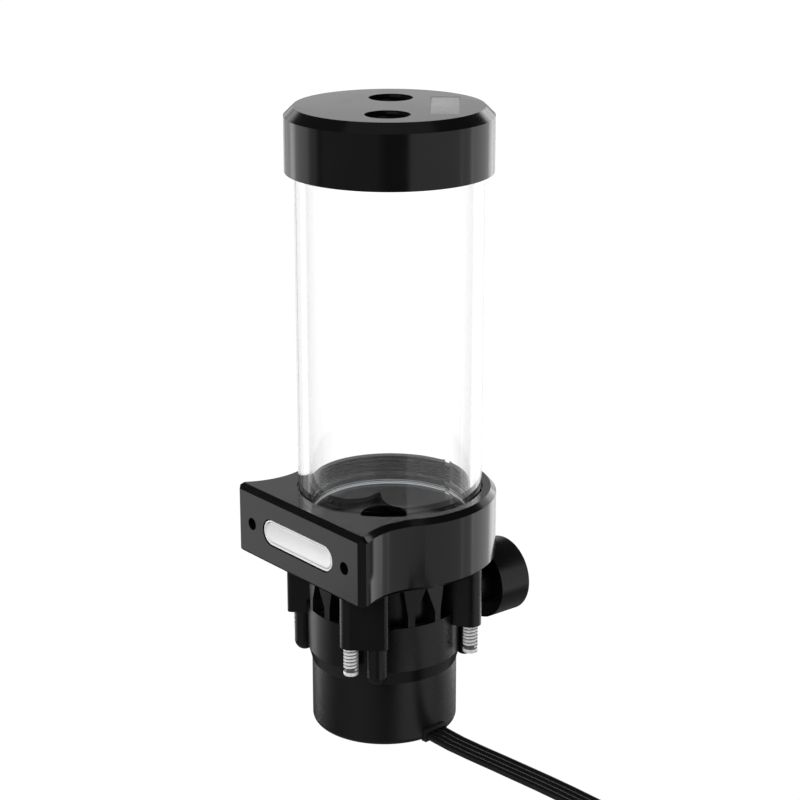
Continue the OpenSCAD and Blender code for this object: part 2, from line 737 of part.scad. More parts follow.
module motor_housing() {
    notch_w = cable_w + 0.6;
    color([0.06, 0.06, 0.07]) difference() {
        union() {
            rotate_extrude() difference() {
                union() {
                    polygon([
                        [0, 0], [can_r - foot_fillet, 0], [can_r - foot_fillet, foot_fillet],
                        [can_r, foot_fillet], [can_r, can_h], [skirt_r, can_h + skirt_cone],
                        [skirt_r, rim_z], [0, rim_z]
                    ]);
                    intersection() {
                        translate([can_r - foot_fillet, foot_fillet])
                            circle(r = foot_fillet);
                        square([can_r + 1, foot_fillet + eps]);
                    }
                }
                // Inside: the ledge carries the separator's flange.
                polygon([
                    [0, can_floor], [ledge_r, can_floor], [ledge_r, plate_z],
                    [plate_r, plate_z], [plate_r, rim_z + 1], [0, rim_z + 1]
                ]);
            }
            // Screw columns with rounded ends.
            four() translate(concat(at(column_at, column_turn), column_z + column_r)) {
                cylinder(r = column_r, h = boss_z - column_z - column_r);
                sphere(r = column_r);
            }
            // A thin upright strip on the skirt beside each boss, but for the one by the outlet.
            for (k = [0, 2, 3]) rotate([0, 0, 90 * k + column_turn + 10.5])
                translate([-strip_w / 2, -skirt_r - strip_w / 2, rim_z - strip_h])
                cube([strip_w, 1, strip_h]);
        }
        // The columns stay outside the can's bore.
        translate([0, 0, can_floor + 1]) cylinder(r = ledge_r, h = rim_z);
        four() translate(concat(at(column_at, column_turn), column_z + 2.6))
            cylinder(d = screw_d + eps, h = boss_z);
        // Room for the outlet's neck in the rim.
        intersection() {
            translate([outlet_x, 0, outlet_z]) rotate([-90, 0, 0])
                cylinder(d = passage_d + 6 + 2 * slip_gap, h = outlet_reach);
            translate([0, 0, wall_z - slip_gap]) cube([outlet_reach, outlet_reach, block_h]);
        }
        // Notch for the cable, open at the foot, and a small drain slot beside it.
        rotate([0, 0, notch_turn]) translate([0, -can_r + 4, 0]) rotate([90, 0, 0])
            linear_extrude(6) notch_plan(notch_w, 3.7);
        rotate([0, 0, notch_turn + 35]) translate([-0.8, -can_r - 1, -1])
            cube([1.6, 2, 2.4]);
    }
}

module mounting_studs() {
    color([0.8, 0.8, 0.82]) four() translate(concat(at(stud_r, stud_turn), boss_z - stud_out))
        rotate_extrude() polygon([
            [0, 0], [stud_d / 2 - 0.3, 0], [stud_d / 2, 0.3], [stud_d / 2, stud_out - 0.4],
            [shank_d / 2, stud_out - 0.2], [shank_d / 2, stud_out + boss_h + stud_grip - 0.3],
            [shank_d / 2 - 0.3, stud_out + boss_h + stud_grip], [0, stud_out + boss_h + stud_grip]
        ]);
}

module housing_screws() {
    color([0.7, 0.7, 0.72]) four() translate(concat(at(column_at, column_turn), 0)) {
        translate([0, 0, column_z + 3]) cylinder(d = screw_d, h = block_z - 1.6 - column_z - 3 + eps);
        translate([0, 0, block_z - 1.6 + eps]) cylinder(d = screw_head_d, h = 1.4);
    }
}

/* ---- Cable ---- */

module cable_grommet() {
    color([0.1, 0.1, 0.1]) rotate([0, 0, notch_turn]) translate([0, -ledge_r - 0.4, 0])
        rotate([90, 0, 0]) difference() {
            linear_extrude(can_wall + 0.2) intersection() {
                notch_plan(cable_w + 0.5, 3.65);
                translate([-cable_w, eps]) square([2 * cable_w, 5]);
            }
            translate([0, 1.6, -1]) linear_extrude(5) oval(cable_w + 2 * eps, cable_t + 2 * eps);
        }
}

// Points of a flat section across the route at point i.
side_n = 8;
function flat(i, n) = let (
    d = route[min(i + 1, n)] - route[max(i - 1, 0)],
    h = [-d[1], d[0], 0] / norm([d[0], d[1]])
) [for (k = [0 : side_n - 1]) let (a = 360 / side_n * (k + 0.5))
    route[i] + h * (cable_w / 2 * sign(cos(a)) * (abs(cos(a)) > 0.5 ? 1 : 0.78))
        + [0, 0, cable_t / 2 * sign(sin(a)) * (abs(sin(a)) > 0.5 ? 1 : 0.45)]];

module cable() {
    n = len(route) - 1;
    pts = [for (i = [0 : n]) each flat(i, n)];
    color([0.08, 0.08, 0.08]) polyhedron(pts, concat(
        [[for (k = [side_n - 1 : -1 : 0]) k]],
        [for (i = [0 : n - 1]) for (k = [0 : side_n - 1])
            [i * side_n + k, i * side_n + (k + 1) % side_n,
             (i + 1) * side_n + (k + 1) % side_n, (i + 1) * side_n + k]],
        [[for (k = [0 : side_n - 1]) n * side_n + k]]
    ));
}

module cable_coil() {
    color([0.08, 0.08, 0.08]) translate(concat(coil_at, tie_t + eps)) rotate_extrude()
        translate([coil_r_in - cable_w / 2, 0]) square([coil_w, cable_t]);
}

module cable_tie() {
    h = cable_t + 2 * tie_t + 2 * eps;
    tie_w = coil_w + 0.16;
    color([0.15, 0.15, 0.15]) translate([coil_at[0] + coil_mid, coil_at[1], h / 2])
        rotate([90, 0, 0]) linear_extrude(3, center = true) difference() {
            square([tie_w + 2 * tie_t, h], center = true);
            square([tie_w, h - 2 * tie_t], center = true);
        }
}

// The connector lies on the coil, at the end of the cable.
module at_plug() {
    translate([
        coil_at[0] + coil_r_in * cos(tail_turn), coil_at[1] + coil_r_in * sin(tail_turn),
        tie_t + cable_t + 2 * eps
    ]) rotate([0, 0, tail_turn - 90]) children();
}

pin_pitch = 2.54;
cell_w = 1.9;

module cable_connector() {
    color([0.1, 0.1, 0.1]) at_plug() difference() {
        translate([0, -plug_size[1] / 2, 0]) cube(plug_size);
        for (k = [-1.5 : 1.5]) translate([2, k * pin_pitch - cell_w / 2, (plug_size[2] - cell_w) / 2])
            cube([plug_size[0], cell_w, cell_w]);
    }
}

module connector_terminals() {
    w = cell_w - 2 * slip_gap;
    color([0.8, 0.78, 0.7]) at_plug()
        for (k = [-1.5 : 1.5]) translate([2, k * pin_pitch, plug_size[2] / 2]) difference() {
            translate([0, -w / 2, -w / 2]) cube([9, w, w]);
            translate([1, -w / 4, -w / 4]) cube([9, w / 2, w / 2]);
        }
}

top_cap();
cap_label_plate();
cap_o_ring();
reservoir_tube();
tube_o_ring();
base_block();
badge_plate();
spigot_o_ring();
volute_housing();
separator_o_ring();
impeller();
rotor_sleeve();
rotor_magnet();
bearing_bushes();
rotor_shaft();
thrust_washers();
shaft_clip();
separator_can();
stator_core();
stator_bobbin();
stator_coils();
circuit_board();
board_parts();
motor_housing();
mounting_studs();
housing_screws();
cable_grommet();
cable();
cable_coil();
cable_tie();
cable_connector();
connector_terminals();
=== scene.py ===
import json
import math

import bpy
from mathutils import Matrix, Vector


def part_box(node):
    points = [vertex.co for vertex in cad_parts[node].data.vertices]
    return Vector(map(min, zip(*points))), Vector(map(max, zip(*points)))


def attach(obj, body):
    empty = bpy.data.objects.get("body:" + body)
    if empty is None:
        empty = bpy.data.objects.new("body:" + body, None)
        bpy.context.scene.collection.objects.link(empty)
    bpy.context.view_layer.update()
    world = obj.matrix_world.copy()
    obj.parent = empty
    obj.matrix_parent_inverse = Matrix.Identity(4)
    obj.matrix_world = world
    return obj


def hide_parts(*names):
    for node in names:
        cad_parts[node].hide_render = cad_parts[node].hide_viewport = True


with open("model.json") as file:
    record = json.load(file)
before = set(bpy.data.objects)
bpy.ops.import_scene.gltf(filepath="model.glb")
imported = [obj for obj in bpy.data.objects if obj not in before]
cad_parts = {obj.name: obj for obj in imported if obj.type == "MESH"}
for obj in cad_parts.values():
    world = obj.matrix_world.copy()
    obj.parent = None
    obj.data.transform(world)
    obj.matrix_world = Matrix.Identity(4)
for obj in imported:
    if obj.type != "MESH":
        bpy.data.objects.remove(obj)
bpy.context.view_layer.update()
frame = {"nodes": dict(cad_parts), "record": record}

nodes = frame["nodes"]
bpy.ops.object.select_all(action="DESELECT")


# ---- Camera, floor and studio light ----
# The pump stands on a plain pale floor in soft light. Tall soft boxes stand behind it on both
# sides, a dim one in front on each side, and one behind lights the faces that look up. Floor and
# surroundings are white to the camera, also through the tube, and hardly light the black pieces.

camera_turn = 50.982
white_level = 1.02
white_gain_through_tube = 0.13
dim_level = 0.04
lit_middle = Vector((0, 0.002, 0.09))

camera_data = bpy.data.cameras.new("studio_camera")
camera_data.lens = 95.936
camera_data.sensor_width = 36
camera_data.clip_end = 20
camera = bpy.data.objects.new("studio_camera", camera_data)
bpy.context.collection.objects.link(camera)
camera.location = (0.42651, -0.33998, 0.26843)
camera.rotation_euler = (math.radians(72.1666), 0, math.radians(camera_turn))
bpy.context.scene.camera = camera
bpy.context.scene.view_settings.view_transform = "Standard"

floor_shade = bpy.data.materials.new("pale_floor")
floor_shade.use_nodes = True
tree = floor_shade.node_tree
floor_bsdf = tree.nodes["Principled BSDF"]
floor_bsdf.inputs["Base Color"].default_value = (0.8, 0.8, 0.8, 1)
floor_bsdf.inputs["Roughness"].default_value = 0.9
floor_bsdf.inputs["Specular IOR Level"].default_value = 0
floor_glow = tree.nodes.new("ShaderNodeEmission")
floor_path = tree.nodes.new("ShaderNodeLightPath")
floor_level = tree.nodes.new("ShaderNodeMath")
floor_level.operation = "MULTIPLY_ADD"
floor_level.inputs[1].default_value = white_gain_through_tube
floor_level.inputs[2].default_value = white_level
tree.links.new(floor_path.outputs["Is Transmission Ray"], floor_level.inputs[0])
tree.links.new(floor_level.outputs[0], floor_glow.inputs["Strength"])
seen = tree.nodes.new("ShaderNodeMath")
seen.operation = "MAXIMUM"
floor_mix = tree.nodes.new("ShaderNodeMixShader")
tree.links.new(floor_path.outputs["Is Camera Ray"], seen.inputs[0])
tree.links.new(floor_path.outputs["Is Transmission Ray"], seen.inputs[1])
tree.links.new(seen.outputs[0], floor_mix.inputs[0])
tree.links.new(floor_bsdf.outputs[0], floor_mix.inputs[1])
tree.links.new(floor_glow.outputs[0], floor_mix.inputs[2])
tree.links.new(floor_mix.outputs[0], tree.nodes["Material Output"].inputs["Surface"])

bpy.ops.mesh.primitive_plane_add(size=8, location=(0, 0, -0.0004))
floor = bpy.context.object
floor.name = "floor"
floor.visible_glossy = False
floor.visible_diffuse = False
floor.visible_shadow = False
floor.data.materials.append(floor_shade)

world = bpy.data.worlds.new("studio")
bpy.context.scene.world = world
world.use_nodes = True
tree = world.node_tree
tree.nodes.clear()
sky_path = tree.nodes.new("ShaderNodeLightPath")
sky_white = tree.nodes.new("ShaderNodeBackground")
sky_white.inputs["Color"].default_value = (1, 1, 1, 1)
sky_white.inputs["Strength"].default_value = white_level
sky_dim = tree.nodes.new("ShaderNodeBackground")
sky_dim.inputs["Color"].default_value = (1, 1, 1, 1)
sky_dim.inputs["Strength"].default_value = dim_level
sky_mix = tree.nodes.new("ShaderNodeMixShader")
sky_out = tree.nodes.new("ShaderNodeOutputWorld")

# White where the camera looks straight or only through clear pieces.
sky_seen = tree.nodes.new("ShaderNodeMath")
sky_seen.operation = "MAXIMUM"
tree.links.new(sky_path.outputs["Is Camera Ray"], sky_seen.inputs[0])
sky_bounces = tree.nodes.new("ShaderNodeMath")
sky_bounces.operation = "ADD"
tree.links.new(sky_path.outputs["Diffuse Depth"], sky_bounces.inputs[0])
tree.links.new(sky_path.outputs["Glossy Depth"], sky_bounces.inputs[1])
sky_direct = tree.nodes.new("ShaderNodeMath")
sky_direct.operation = "LESS_THAN"
sky_direct.inputs[1].default_value = 0.5
tree.links.new(sky_bounces.outputs[0], sky_direct.inputs[0])
sky_through = tree.nodes.new("ShaderNodeMath")
sky_through.operation = "MULTIPLY"
tree.links.new(sky_path.outputs["Is Transmission Ray"], sky_through.inputs[0])
tree.links.new(sky_direct.outputs[0], sky_through.inputs[1])
tree.links.new(sky_through.outputs[0], sky_seen.inputs[1])
tree.links.new(sky_seen.outputs[0], sky_mix.inputs[0])
tree.links.new(sky_dim.outputs[0], sky_mix.inputs[1])
tree.links.new(sky_white.outputs[0], sky_mix.inputs[2])
tree.links.new(sky_mix.outputs[0], sky_out.inputs["Surface"])


def soft_box(name, turn, rise, away, width, height, glow):
    """A soft box aimed at the pump. Its turn counts from the camera's side, to the right."""
    heading = math.radians(camera_turn + turn)
    lift = math.radians(rise)
    back = Vector((math.sin(heading) * math.cos(lift), -math.cos(heading) * math.cos(lift),
                   math.sin(lift)))
    light = bpy.data.lights.new(name, "AREA")
    light.shape = "RECTANGLE"
    light.size, light.size_y = width, height
    light.energy = 4 * glow * width * height
    lamp = bpy.data.objects.new(name, light)
    bpy.context.collection.objects.link(lamp)
    lamp.location = lit_middle + back * away
    lamp.rotation_euler = back.to_track_quat("Z", "Y").to_euler()
    lamp.visible_camera = False
    return lamp


soft_box("left_box", -124, -1, 1.2, 1.25, 1.2, 0.72)
soft_box("left_strip", -128, -1, 1.15, 0.22, 1.15, 1.0)
soft_box("left_far_box", -166, -15, 1.2, 0.5, 0.5, 0.8)
soft_box("left_edge_box", -90, -1, 1.25, 0.3, 1.2, 0.26)
soft_box("front_left_box", -43, -4, 1.4, 1.85, 1.9, 0.09)
soft_box("right_front_box", 53, -4, 1.4, 1.72, 1.7, 0.42)
soft_box("right_edge_box", 92, -1, 1.25, 0.4, 1.2, 0.5)
soft_box("right_box", 126, -1, 1.2, 1.25, 1.2, 0.92)
soft_box("right_strip", 148, -1, 1.15, 0.5, 1.15, 0.8)
soft_box("right_far_box", 168, -15, 1.2, 0.4, 0.5, 0.85)
soft_box("back_box", 180, 13, 1.3, 1.7, 0.5, 0.4)
soft_box("back_low_box", 180, 8, 1.35, 1.7, 0.26, 0.3)
soft_box("overhead_box", 0, 84, 1.2, 1.2, 1.2, 0.12)
soft_box("under_box", 0, -84, 1.2, 3.2, 3.2, 0.11)
fill_box = soft_box("fill_box", -34, 22, 1.2, 0.8, 0.8, 6)
fill_box.visible_glossy = False
fill_box.visible_transmission = False


# ---- Flat lead ----
# A limp flat lead of four insulated cores leaves through the motor housing's foot. It runs along
# the surface, lies in a flat coil under a tie, and ends in a four-way connector.

fine_marks = bpy.data.node_groups.new("fine_marks", "ShaderNodeTree")
fine_marks.interface.new_socket("Grain", in_out="INPUT", socket_type="NodeSocketFloat")
fine_marks.interface.new_socket("Stretch", in_out="INPUT", socket_type="NodeSocketVector")
fine_marks.interface.new_socket("Tone", in_out="OUTPUT", socket_type="NodeSocketFloat")
fine_marks.interface.new_socket("Sheen Spread", in_out="OUTPUT", socket_type="NodeSocketFloat")
fine_marks.interface.new_socket("Height", in_out="OUTPUT", socket_type="NodeSocketFloat")
group_in = fine_marks.nodes.new("NodeGroupInput")
group_out = fine_marks.nodes.new("NodeGroupOutput")
place = fine_marks.nodes.new("ShaderNodeTexCoord")
stretch = fine_marks.nodes.new("ShaderNodeMapping")
fine_marks.links.new(place.outputs["Object"], stretch.inputs["Vector"])
fine_marks.links.new(group_in.outputs["Stretch"], stretch.inputs["Scale"])
grain = fine_marks.nodes.new("ShaderNodeTexNoise")
grain.inputs["Detail"].default_value = 4
grain.inputs["Roughness"].default_value = 0.6
fine_marks.links.new(stretch.outputs[0], grain.inputs["Vector"])
fine_marks.links.new(group_in.outputs["Grain"], grain.inputs["Scale"])
clouds = fine_marks.nodes.new("ShaderNodeTexNoise")
clouds.inputs["Scale"].default_value = 60
clouds.inputs["Detail"].default_value = 3
fine_marks.links.new(place.outputs["Object"], clouds.inputs["Vector"])
tone = fine_marks.nodes.new("ShaderNodeMath")
tone.operation = "MULTIPLY_ADD"
tone.inputs[1].default_value = 0.4
fine_marks.links.new(grain.outputs["Fac"], tone.inputs[0])
half_clouds = fine_marks.nodes.new("ShaderNodeMath")
half_clouds.operation = "MULTIPLY"
half_clouds.inputs[1].default_value = 0.6
fine_marks.links.new(clouds.outputs["Fac"], half_clouds.inputs[0])
fine_marks.links.new(half_clouds.outputs[0], tone.inputs[2])
fine_marks.links.new(tone.outputs[0], group_out.inputs["Tone"])
fine_marks.links.new(clouds.outputs["Fac"], group_out.inputs["Sheen Spread"])
fine_marks.links.new(grain.outputs["Fac"], group_out.inputs["Height"])


def finish(name, dark, light, rough, grain_size, relief, stretched=(1, 1, 1), metallic=0.0):
    """A surface finish: two close tones, a range of roughness, and the relief of its grain."""
    made = bpy.data.materials.new(name)
    made.use_nodes = True
    tree = made.node_tree
    bsdf = tree.nodes["Principled BSDF"]
    bsdf.inputs["Metallic"].default_value = metallic
    marks = tree.nodes.new("ShaderNodeGroup")
    marks.node_tree = fine_marks
    marks.inputs["Grain"].default_value = grain_size
    marks.inputs["Stretch"].default_value = stretched
    shades = tree.nodes.new("ShaderNodeValToRGB")
    shades.color_ramp.elements[0].position = 0.35
    shades.color_ramp.elements[0].color = (*dark, 1)
    shades.color_ramp.elements[1].position = 0.65
    shades.color_ramp.elements[1].color = (*light, 1)
    tree.links.new(marks.outputs["Tone"], shades.inputs["Fac"])
    tree.links.new(shades.outputs["Color"], bsdf.inputs["Base Color"])
    spread = tree.nodes.new("ShaderNodeMapRange")
    spread.inputs["From Min"].default_value = 0.3
    spread.inputs["From Max"].default_value = 0.7
    spread.inputs["To Min"].default_value = rough[0]
    spread.inputs["To Max"].default_value = rough[1]
    tree.links.new(marks.outputs["Sheen Spread"], spread.inputs["Value"])
    tree.links.new(spread.outputs[0], bsdf.inputs["Roughness"])
    bump = tree.nodes.new("ShaderNodeBump")
    bump.inputs["Strength"].default_value = relief
    bump.inputs["Distance"].default_value = 0.0001
    tree.links.new(marks.outputs["Height"], bump.inputs["Height"])
    tree.links.new(bump.outputs[0], bsdf.inputs["Normal"])
    return made


def paint(piece, made):
    """Gives a piece one finish."""
    piece.data.materials.clear()
    piece.data.materials.append(made)


core_d = 0.0019
core_count = 4
straight_run_mm = [
    (19, 1.7, 1.6), (23, 2, 1.3), (28, 2.5, 0.95), (36, 3.2, 0.95), (44, 4.1, 0.95),
    (52, 4.9, 0.95), (60, 5.7, 0.95), (68, 6.3, 0.95), (76, 6.7, 0.95), (84, 6.9, 0.95),
    (92, 6.9, 0.96), (99, 6.8, 1.1), (104, 6.7, 1.3)
]
coil_x, coil_y, coil_z = 108, -36.4, 1.38
outer_r, inner_r = 43, 35
coil_sweep = 378
coil_steps = 63
first_step = 3
climb_steps = 4
climb = 3.6
lead_line = [Vector(point) / 1000 for point in straight_run_mm]
for step in range(first_step, coil_steps + 1):
    swept = coil_sweep * step / coil_steps
    turn = math.radians(90 - swept)
    r = outer_r - (outer_r - inner_r) * swept / coil_sweep
    risen = max(0, step - coil_steps + climb_steps) / climb_steps
    lead_line.append(Vector((coil_x + r * math.cos(turn), coil_y + r * math.sin(turn),
                             coil_z + climb * risen * risen * (3 - 2 * risen))) / 1000)

# The outline of round cores side by side, swept along the line.
lobe_steps = 8
section = []
for side in (1, -1):
    for core in range(core_count):
        middle = (core - (core_count - 1) / 2) * core_d * side
        for k in range(lobe_steps):
            a = math.pi * (k + 0.5) / lobe_steps
            section.append((middle - side * core_d / 2 * math.cos(a), side * core_d / 2 * math.sin(a)))
rings = []
for i, point in enumerate(lead_line):
    ahead = (lead_line[min(i + 1, len(lead_line) - 1)] - lead_line[max(i - 1, 0)]).normalized()
    across = Vector((-ahead.y, ahead.x, 0)).normalized()
    up = ahead.cross(across)
    rings.append([point + across * u + up * v for u, v in section])
count = len(section)
verts = [v for ring in rings for v in ring]
faces = [(i * count + k, i * count + (k + 1) % count, (i + 1) * count + (k + 1) % count,
          (i + 1) * count + k) for i in range(len(rings) - 1) for k in range(count)]
faces.append(tuple(range(count))[::-1])
faces.append(tuple((len(rings) - 1) * count + k for k in range(count)))
lead_mesh = bpy.data.meshes.new("flat_lead")
lead_mesh.from_pydata([tuple(v) for v in verts], [], faces)
lead = bpy.data.objects.new("flat_lead", lead_mesh)
bpy.context.collection.objects.link(lead)
bpy.ops.object.select_all(action="DESELECT")
lead.select_set(True)
bpy.context.view_layer.objects.active = lead
bpy.ops.object.mode_set(mode="EDIT")
bpy.ops.mesh.select_all(action="SELECT")
bpy.ops.mesh.normals_make_consistent(inside=False)
bpy.ops.object.mode_set(mode="OBJECT")
bpy.ops.object.shade_smooth_by_angle(angle=math.radians(50))
lead_skin = finish("lead_skin", (0.004, 0.004, 0.0045), (0.007, 0.007, 0.0075),
                   (0.26, 0.36), 1800, 0.12)
for piece in (lead, nodes["cable"], nodes["cable_coil"]):
    paint(piece, lead_skin)

# The nylon tie, the moulded plug housing and its four tinned contacts.
tie_nylon = finish("tie_nylon", (0.008, 0.008, 0.008), (0.014, 0.014, 0.014), (0.36, 0.46), 2000, 0.1)
paint(nodes["cable_tie"], tie_nylon)
plug_black = finish("plug_black", (0.008, 0.008, 0.0085), (0.014, 0.014, 0.0145),
                    (0.4, 0.52), 3000, 0.25)
paint(nodes["cable_connector"], plug_black)
tin = finish("tinned_terminal", (0.62, 0.58, 0.48), (0.8, 0.76, 0.66), (0.25, 0.4), 2200, 0.1,
             stretched=(1, 1, 6), metallic=1.0)
paint(nodes["connector_terminals"], tin)
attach(lead, "pump")
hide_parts("cable", "cable_coil")


# ---- Motor housing and grommet ----
# A cup moulded in glass-filled nylon closes the motor from below. The lead comes out of a rubber
# grommet that is pressed into a notch of its foot.

moulded_black = finish("moulded_black", (0.0022, 0.0022, 0.0023), (0.0038, 0.0038, 0.004),
                       (0.25, 0.33), 4200, 0.16)
paint(nodes["motor_housing"], moulded_black)
seal_rubber = finish("seal_rubber", (0.005, 0.005, 0.005), (0.009, 0.009, 0.009),
                     (0.5, 0.62), 3500, 0.2)
paint(nodes["cable_grommet"], seal_rubber)


# ---- Stator ----
# Stacked sheet steel with six teeth. A white bobbin insulates the teeth, and each carries a coil
# of enamelled copper wire.

core_sheet = finish("stacked_sheet", (0.3, 0.31, 0.33), (0.46, 0.47, 0.49), (0.3, 0.45), 900, 0.5,
                    stretched=(0.3, 0.3, 6), metallic=1.0)
paint(nodes["stator_core"], core_sheet)
bobbin_white = finish("bobbin_white", (0.78, 0.78, 0.73), (0.86, 0.86, 0.82), (0.4, 0.5), 2500, 0.1)
paint(nodes["stator_bobbin"], bobbin_white)
winding = finish("enamelled_copper", (0.45, 0.2, 0.08), (0.72, 0.38, 0.18), (0.2, 0.35), 700, 0.6,
                 stretched=(0.4, 0.4, 7), metallic=1.0)
paint(nodes["stator_coils"], winding)


# ---- Circuit board ----
# The driver board lies in the foot of the motor, in green solder resist, with its driver chip
# and the other parts soldered on to it.

board_green = finish("board_green", (0.02, 0.16, 0.06), (0.03, 0.22, 0.09), (0.25, 0.35), 1500, 0.1)
paint(nodes["circuit_board"], board_green)
chip_black = finish("chip_black", (0.03, 0.03, 0.03), (0.05, 0.05, 0.05), (0.5, 0.6), 3000, 0.3)
paint(nodes["board_parts"], chip_black)


# ---- Rotor ----
# A ring magnet of ground ferrite sits on a moulded sleeve that carries the impeller above it. Two
# pressed carbon bushes in the sleeve run on the shaft.

rotor_white = finish("rotor_white", (0.66, 0.66, 0.62), (0.76, 0.76, 0.73), (0.35, 0.45), 2500, 0.1)
paint(nodes["impeller"], rotor_white)
paint(nodes["rotor_sleeve"], rotor_white)
ferrite = finish("ground_ferrite", (0.07, 0.07, 0.08), (0.12, 0.12, 0.13), (0.3, 0.45), 2600, 0.3)
paint(nodes["rotor_magnet"], ferrite)
carbon = finish("pressed_carbon", (0.03, 0.03, 0.03), (0.06, 0.06, 0.06), (0.4, 0.55), 3000, 0.3)
paint(nodes["bearing_bushes"], carbon)


# ---- Shaft, washers and clip ----
# The ceramic shaft stands still in the separator can. A thrust washer lies at each end of the
# rotor, and a spring steel clip holds the upper one.

ceramic = finish("ground_ceramic", (0.84, 0.83, 0.8), (0.9, 0.89, 0.86), (0.12, 0.2), 1800, 0.05)
paint(nodes["rotor_shaft"], ceramic)
paint(nodes["thrust_washers"], ceramic)
clip_steel = finish("spring_steel", (0.4, 0.4, 0.41), (0.55, 0.55, 0.56), (0.25, 0.35), 1800, 0.1,
                    metallic=1.0)
paint(nodes["shaft_clip"], clip_steel)


# ---- Separator can and housing seals ----
# A thin moulded can keeps the coolant from the stator, and its flange is the floor of the pump
# room. Rubber O-rings seal it to the volute housing, and the volute housing to the block.

separator_grey = finish("separator_grey", (0.05, 0.05, 0.055), (0.08, 0.08, 0.085),
                        (0.4, 0.5), 3000, 0.2)
paint(nodes["separator_can"], separator_grey)
paint(nodes["separator_o_ring"], seal_rubber)
paint(nodes["spigot_o_ring"], seal_rubber)


# ---- Volute housing and its screws ----
# The moulded volute housing carries the spiral channel and the outlet. Four zinc-plated screws go
# down through it into the screw columns of the motor housing.

paint(nodes["volute_housing"], moulded_black)
zinc = finish("bright_zinc", (0.8, 0.8, 0.81), (0.92, 0.92, 0.93), (0.2, 0.32), 1500, 0.08,
              metallic=0.6)
paint(nodes["housing_screws"], zinc)


# ---- Mounting studs ----
# Four M4 studs of bright zinc-plated steel stand down out of the bosses of the volute housing,
# for the bracket below. Each is a plain point, a short groove and a threaded shank.

paint(nodes["mounting_studs"], zinc)


def ridge(name, foot_r, crest_r, pitch, start_z, turns, steps, flat=0.125, foot=0.92):
    """A helical thread ridge round the Z axis, climbing to the right, from foot_r to crest_r.
    flat and foot are the widths of its crest and its foot, as shares of the pitch."""
    bpy.ops.object.select_all(action="DESELECT")
    bpy.ops.mesh.primitive_plane_add(size=1, location=(0, 0, 0))
    made = bpy.context.object
    made.name = name
    half = pitch * foot / 2
    tip = pitch * flat / 2
    corners = [(foot_r, -half), (foot_r, half), (crest_r, -tip), (crest_r, tip)]
    order = sorted(made.data.vertices, key=lambda v: (v.co.x, v.co.y))
    for v, (r, z) in zip(order, corners):
        v.co = (r, 0, start_z + z)
    screw = made.modifiers.new("helix", "SCREW")
    screw.angle = 2 * math.pi * turns
    screw.screw_offset = pitch * turns
    screw.steps = screw.render_steps = int(steps * turns)
    screw.use_merge_vertices = False
    bpy.ops.object.modifier_apply(modifier="helix")
    bpy.ops.object.mode_set(mode="EDIT")
    bpy.ops.mesh.select_all(action="SELECT")
    bpy.ops.mesh.remove_doubles(threshold=1e-7)
    bpy.ops.mesh.fill_holes(sides=4)
    bpy.ops.mesh.normals_make_consistent(inside=False)
    bpy.ops.object.mode_set(mode="OBJECT")
    return made


def set_down(piece, where, turned=None):
    """Puts a shape made at the origin in its place, in its mesh."""
    piece.data.transform(Matrix.Translation(where) @ (turned or Matrix.Identity(4)))
    piece.data.update()


def copies(piece, name, count):
    """Numbered copies of a piece, each with its own mesh. The piece itself is removed."""
    made = []
    for k in range(count):
        twin = piece.copy()
        twin.data = piece.data.copy()
        twin.name = "%s_%d" % (name, k + 1)
        bpy.context.collection.objects.link(twin)
        made.append(twin)
    bpy.data.objects.remove(piece)
    return made


mounts = {mount["name"]: mount for mount in frame["record"]["mounts"]}
stud_low, stud_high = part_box("mounting_studs")
stud_circle_r = mounts["stud_circle"]["dims"]["pcd_mm"] / 2000
stud_turn = 30.7
stud_count = mounts["stud_circle"]["dims"]["count"]
stud_r, stud_root_r, stud_pitch = 0.00205, 0.00155, 0.00097
stud_length = stud_high[2] - stud_low[2]
point_l = 0.001
thread_z, thread_turns = 0.0017, 6.3
overlap = 0.0001
thread_zinc = finish("thread_zinc", (0.93, 0.93, 0.94), (1, 1, 1), (0.18, 0.3), 1500, 0.08,
                     metallic=0.4)
tree = thread_zinc.node_tree
# Painted shade: thread_depth darkens the base colour towards the thread roots, down to about an eighth
# of the zinc's tone at the root.
depth_in = tree.nodes.new("ShaderNodeAttribute")
depth_in.attribute_name = "thread_depth"
root_painted_shade = tree.nodes.new("ShaderNodeValToRGB")
root_painted_shade.color_ramp.elements[0].position = 0.25
root_painted_shade.color_ramp.elements[0].color = (1, 1, 1, 1)
root_painted_shade.color_ramp.elements[1].position = 0.9
root_painted_shade.color_ramp.elements[1].color = (0.12, 0.115, 0.11, 1)
shaded = tree.nodes.new("ShaderNodeMix")
shaded.data_type = "RGBA"
shaded.blend_type = "MULTIPLY"
shaded.inputs[0].default_value = 1
bsdf_in = tree.nodes["Principled BSDF"].inputs["Base Color"]
plain_tone = bsdf_in.links[0].from_socket
tree.links.new(depth_in.outputs["Fac"], root_painted_shade.inputs["Fac"])
tree.links.new(plain_tone, shaded.inputs[6])
tree.links.new(root_painted_shade.outputs["Color"], shaded.inputs[7])
tree.links.new(shaded.outputs[2], bsdf_in)

